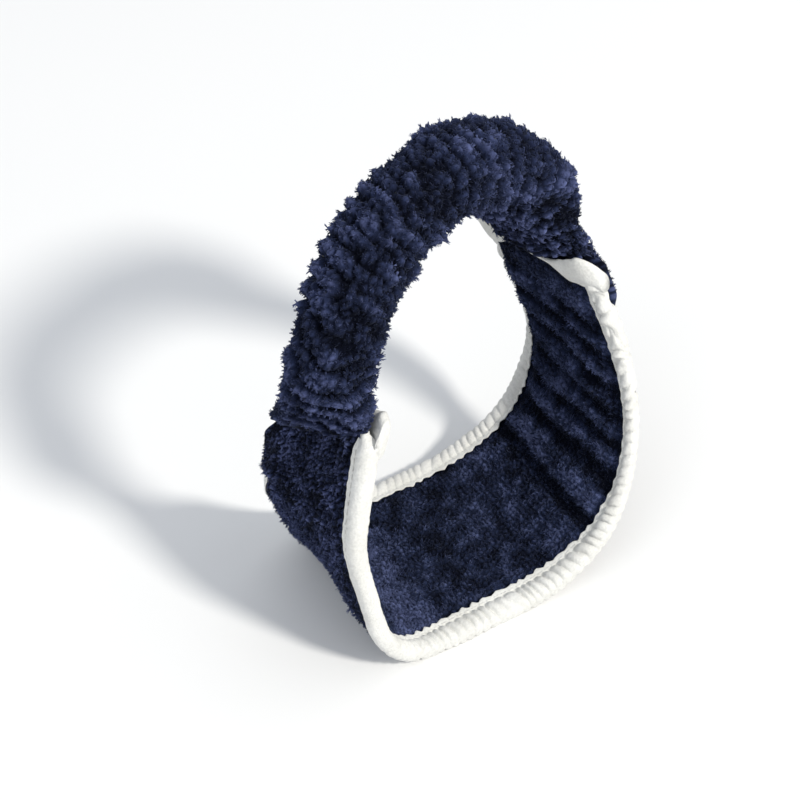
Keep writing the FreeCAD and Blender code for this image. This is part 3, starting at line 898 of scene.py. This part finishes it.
def casing_pile(name, seed, start, end):
    """Long pile on a stretch of the sleeve, combed round it near the right seam."""
    rng = np.random.default_rng(seed)
    distance, around = tuft_places(rng, start, end, 0.0, 2.0 * np.pi * CASING_RADIUS, LONG_PILE_SPACING)
    from_right, from_left = from_seam(distance)
    clear = np.minimum(from_right - 2.5, from_left - 1.0) > 0.0
    distance, around = distance[clear], around[clear]
    angle = around / CASING_RADIUS
    seam_share = 0.5 + 0.5 * ease(np.minimum(from_right, from_left)[clear] / 8.0)
    fuller = 0.55 + 0.1 * gathers(distance, angle) + 0.35 * casing_knobs(distance, angle)
    share = seam_share * np.clip(fuller, 0.4, 1.2)
    wrapped = 0.8 * (1.0 - ease((distance - PANEL_LENGTH - 30.0) / 35.0))
    combed = ruffled(seed, 0.5)

    def lean(place, turn):
        lean_along, lean_around = combed(place, turn)
        lifted = 0.8 * (1.0 - ease((place - PANEL_LENGTH) / 10.0))
        return lean_along * (1.0 - 0.6 * wrapped) + lifted, lean_around - 1.4 * wrapped
    return grow_pile(name, seed, CASING_CLOTH, (distance, around, share), 4, 1.3, 0.14, lean)


def panel_pile(name, seed, cloth, stretch, spacing, blades, lean, margin):
    """Pile on a stretch of one face of the panel."""
    shade = cloth[1]
    rng = np.random.default_rng(seed)
    distance, across = tuft_places(rng, *stretch, -PANEL_WIDTH / 2.0, PANEL_WIDTH / 2.0, spacing)
    inside = np.abs(across) < half_width(distance) - margin(distance, across)
    distance, across = distance[inside], across[inside]
    share = 0.85 + 0.15 * noise(seed + 5, distance / 6.0, across / 6.0) + 0.5 * shade(distance, across)
    return grow_pile(name, seed, cloth, (distance, across, share), blades, 1.4, 0.13, lean)


def outer_margin(distance, across):
    """How far the outer pile stays from the binding's middle. It covers the tape at two corners."""
    return 4.0 - 6.0 * corner_cover(distance, across)


def inner_margin(distance, across):
    """The same for the inner pile, which hangs over the tape's flange at the right."""
    near_front = bump(distance, *RIGHT_LEG) * (across < 0)
    near_back = 1.6 * ease((distance - 225.0) / 20.0) * (across > 0)
    wide_tape = 2.8 * bump(distance, *ON_TABLE) * (across < 0)
    return 4.4 - near_front - near_back + wide_tape


# -------------------- materials
# Colours of the pile at its roots, in its middle and at its tips. The near black at the roots is painted
# shade deep in the pile.
LONG_PILE_COLOURS = ((0.0012, 0.0020, 0.007), (0.021, 0.029, 0.070), (0.092, 0.112, 0.235))
SHORT_PILE_COLOURS = ((0.0012, 0.0020, 0.007), (0.021, 0.030, 0.070), (0.105, 0.130, 0.262))


def set_inputs(node, values):
    for socket, value in values.items():
        node.inputs[socket].default_value = value


def new_material(name):
    material = bpy.data.materials.new(name)
    material.use_nodes = True
    shader = material.node_tree.nodes["Principled BSDF"]
    return material, material.node_tree, shader


def noise_node(tree, scale, detail):
    """Noise over the object's own coordinates, in cycles per metre."""
    place = tree.nodes.new("ShaderNodeTexCoord")
    texture = tree.nodes.new("ShaderNodeTexNoise")
    set_inputs(texture, {"Scale": scale, "Detail": detail})
    tree.links.new(place.outputs["Object"], texture.inputs["Vector"])
    return texture.outputs["Fac"]


def ramp_node(tree, factor, stops):
    """Colour ramp through (position, colour) stops."""
    ramp = tree.nodes.new("ShaderNodeValToRGB")
    elements = ramp.color_ramp.elements
    while len(elements) < len(stops):
        elements.new(0.5)
    for element, (position, colour) in zip(elements, stops):
        element.position = position
        element.color = (*colour, 1.0)
    tree.links.new(factor, ramp.inputs["Fac"])
    return ramp.outputs["Color"]


def multiply_node(tree, first, second):
    mix = tree.nodes.new("ShaderNodeMix")
    mix.data_type = "RGBA"
    mix.blend_type = "MULTIPLY"
    set_inputs(mix, {"Factor": 1.0})
    tree.links.new(first, mix.inputs["A"])
    tree.links.new(second, mix.inputs["B"])
    return mix.outputs["Result"]


def bump_node(tree, shader, height, strength, reach):
    node = tree.nodes.new("ShaderNodeBump")
    set_inputs(node, {"Strength": strength, "Distance": reach})
    tree.links.new(height, node.inputs["Height"])
    tree.links.new(node.outputs["Normal"], shader.inputs["Normal"])


def fuzz(shader, weight, roughness, tint):
    """Dull, fibrous look of cloth: rough, hardly glossy, with a soft sheen at grazing angles."""
    set_inputs(shader, {"Roughness": 0.95, "Specular IOR Level": 0.08})
    set_inputs(shader, {"Sheen Weight": weight, "Sheen Roughness": roughness, "Sheen Tint": (*tint, 1.0)})


def mottled(tree, scale, detail, dark, light):
    """Colours that vary with noise between a dark and a light one, each a (position, colour) stop."""
    return ramp_node(tree, noise_node(tree, scale, detail), [dark, light])


def pile_material(name, colours):
    """Fleece pile: painted shade makes it near black at the roots; dusty blue at the tips, in patches and
    fibres.
    """
    material, tree, shader = new_material(name)
    attribute = tree.nodes.new("ShaderNodeAttribute")
    # The tone attribute holds painted shade and light as well as random tone: darker towards the roots and
    # in hollows and gaps, lighter on raised parts.
    attribute.attribute_name = "tone"
    colour = ramp_node(tree, attribute.outputs["Fac"], list(zip((0.0, 0.5, 1.0), colours)))
    patches = mottled(tree, 160.0, 3.0, (0.3, (0.7, 0.7, 0.72)), (0.7, (1.2, 1.2, 1.2)))
    fibres = mottled(tree, 1400.0, 2.0, (0.3, (0.65, 0.65, 0.67)), (0.7, (1.2, 1.2, 1.2)))
    colour = multiply_node(tree, multiply_node(tree, colour, patches), fibres)
    tree.links.new(colour, shader.inputs["Base Color"])
    bump_node(tree, shader, noise_node(tree, 2600.0, 1.0), 0.5, 0.0002)
    fuzz(shader, 0.12, 0.45, (0.55, 0.65, 1.0))
    return material


def tape_material():
    """White knitted tape, a little uneven in colour and grain."""
    material, tree, shader = new_material("white_tape")
    colour = mottled(tree, 90.0, 4.0, (0.3, (0.75, 0.745, 0.71)), (0.7, (0.84, 0.84, 0.815)))
    grain = mottled(tree, 1100.0, 2.0, (0.32, (0.90, 0.90, 0.90)), (0.62, (1.0, 1.0, 1.0)))
    tree.links.new(multiply_node(tree, colour, grain), shader.inputs["Base Color"])
    bump_node(tree, shader, noise_node(tree, 1500.0, 3.0), 0.8, 0.0004)
    fuzz(shader, 0.15, 0.5, (1.0, 1.0, 1.0))
    return material


def floor_material():
    material, tree, shader = new_material("white_table")
    colour = mottled(tree, 3.0, 2.0, (0.3, (0.88, 0.885, 0.89)), (0.7, (0.90, 0.90, 0.90)))
    tree.links.new(colour, shader.inputs["Base Color"])
    set_inputs(shader, {"Roughness": 0.9, "Specular IOR Level": 0.1})
    return material


def finish_piece(piece, material, nodes=()):
    """Gives a piece its material, hides the CAD parts that it stands for and bakes its placement into its
    mesh.
    """
    piece.data.materials.append(material)
    if nodes:
        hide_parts(*nodes)
    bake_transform(piece)
    return piece


def build_cloth(long_pile, short_pile, tape):
    """The two layers of the panel, the sleeve and the elastic inside it."""
    outer = panel_layer("outer_panel_cloth", OUTER_CLOTH)
    finish_piece(outer, long_pile, ["outer_panel"])
    inner = panel_layer("inner_panel_cloth", INNER_CLOTH)
    finish_piece(inner, short_pile, ["inner_panel"])
    sleeve = finish_piece(casing(), long_pile, ["elastic_casing"])
    finish_piece(elastic(), tape, ["elastic_band"])
    return outer, inner, sleeve


def build_bindings(tape):
    """The tape along both long edges, with its stitching."""
    for word, side in (("front", -1.0), ("back", 1.0)):
        finish_piece(binding(f"{word}_binding_tape", side), tape, [f"{word}_binding"])
        row = binding_stitches(f"{word}_binding_stitches", side)
        finish_piece(row, tape, [f"{word}_binding_stitching"])


def build_seams(long_pile, short_pile, tape):
    """The tape's turned ends, the seams beside them and the sleeve's closing seam."""
    ends = ("left", LEFT_END_ROWS, 3.0), ("right", RIGHT_END_ROWS, PANEL_LENGTH - 3.0)
    for word, rows, distance in ends:
        finish_piece(end_tape(f"{word}_end_tape", rows), tape)
        row = seam_stitches(f"{word}_seam_stitches", distance)
        finish_piece(row, short_pile, [f"{word}_seam_stitching"])
    row = casing_stitches("casing_seam_stitches")
    finish_piece(row, long_pile, ["casing_seam_stitching"])


def build_pile(long_pile, short_pile):
    """The pile of the outer face, the inner face and the sleeve, in three parts each."""
    outer_piles = []
    inner_piles = []
    for part in range(3):
        start, end = PANEL_LENGTH * part / 3.0, PANEL_LENGTH * (part + 1) / 3.0
        onto_flap = 0.6 * FLAP_LENGTH if part == 2 else 0.0
        pile = panel_pile(f"outer_pile_{part + 1}", 100 + part, OUTER_CLOTH, (start, end + onto_flap),
                          LONG_PILE_SPACING, 4, ruffled(107, 0.5, 0.15), outer_margin)
        outer_piles.append(finish_piece(pile, long_pile))
        pile = panel_pile(f"inner_pile_{part + 1}", 200 + part, INNER_CLOTH, (start, end),
                          SHORT_PILE_SPACING, 3, ruffled(217, 0.4, 0.1), inner_margin)
        inner_piles.append(finish_piece(pile, short_pile))
        start, end = (PANEL_LENGTH + CASING_LENGTH * (part + step) / 3.0 for step in (0, 1))
        pile = casing_pile(f"casing_pile_{part + 1}", 300 + part, start, end)
        finish_piece(pile, long_pile)
    return outer_piles, inner_piles


def build_headband():
    long_pile = pile_material("navy_long_pile", LONG_PILE_COLOURS)
    short_pile = pile_material("navy_short_pile", SHORT_PILE_COLOURS)
    tape = tape_material()
    outer, inner, sleeve = build_cloth(long_pile, short_pile, tape)
    build_bindings(tape)
    build_seams(long_pile, short_pile, tape)
    outer_piles, inner_piles = build_pile(long_pile, short_pile)


# -------------------- floor, light and camera
TABLE_REACH = 3.0
CAMERA_TARGET = Vector((-0.0221, -0.0084, 0.0948))
CAMERA_DISTANCE = 0.7333
CAMERA_AZIMUTH = 0.553
CAMERA_ELEVATION = 0.805
CAMERA_ROLL = 0.025
CAMERA_LENS = 99.39


def aim(obj, place, back, roll=0.0):
    """Puts a lamp or camera at a place, looking against a direction."""
    turn = (-back).to_track_quat("-Z", "Y").to_matrix() @ Matrix.Rotation(roll, 3, "Z")
    obj.matrix_world = Matrix.Translation(place) @ turn.to_4x4()


def direction(azimuth, elevation):
    """Unit vector towards something seen at that azimuth, measured from -Y towards -X, and elevation."""
    flat = math.cos(elevation)
    return Vector((-math.sin(azimuth) * flat, -math.cos(azimuth) * flat, math.sin(elevation)))


def make_floor():
    mesh = bpy.data.meshes.new("table_top")
    corners = [(x * TABLE_REACH, y * TABLE_REACH, 0.0) for x, y in ((-1, -1), (1, -1), (1, 1), (-1, 1))]
    mesh.from_pydata(corners, [], [(0, 1, 2, 3)])
    mesh.materials.append(floor_material())
    add_object("table_top", mesh)


def add_lamp(name, target, back, distance, size, energy, colour):
    """Round lamp that far from the target along a direction."""
    lamp = bpy.data.lights.new(name, "AREA")
    lamp.shape = "DISK"
    lamp.size = size
    lamp.energy = energy
    lamp.color = colour
    aim(add_object(name, lamp), target + back * distance, back)


def make_light(target):
    """One soft lamp high on the right, a weak wide one on the left and an even pale room."""
    add_lamp("key", target, direction(azimuth=-0.361, elevation=0.767),
             distance=3.07, size=0.42, energy=74.0, colour=(1.0, 0.965, 0.89))
    add_lamp("fill", target, direction(azimuth=1.2, elevation=0.9),
             distance=2.0, size=1.0, energy=4.0, colour=(0.85, 0.92, 1.0))
    world = bpy.data.worlds.new("room")
    world.use_nodes = True
    tree = world.node_tree
    place = tree.nodes.new("ShaderNodeTexCoord")
    height = tree.nodes.new("ShaderNodeSeparateXYZ")
    tree.links.new(place.outputs["Generated"], height.inputs["Vector"])
    sky = ramp_node(tree, height.outputs["Z"], [(0.0, (0.50, 0.515, 0.545)), (1.0, (1.10, 1.14, 1.20))])
    tree.links.new(sky, tree.nodes["Background"].inputs["Color"])
    set_inputs(tree.nodes["Background"], {"Strength": 0.66})
    bpy.context.scene.world = world


def make_camera():
    data = bpy.data.cameras.new("camera")
    data.lens = CAMERA_LENS
    data.sensor_width = 36.0
    camera = add_object("camera", data)
    back = direction(CAMERA_AZIMUTH, CAMERA_ELEVATION)
    aim(camera, CAMERA_TARGET + back * CAMERA_DISTANCE, back, CAMERA_ROLL)
    bpy.context.scene.camera = camera


make_camera()
make_light((CAD_LOW + CAD_HIGH) / 2)
make_floor()
bpy.context.scene.view_settings.view_transform = "Standard"
build_headband()
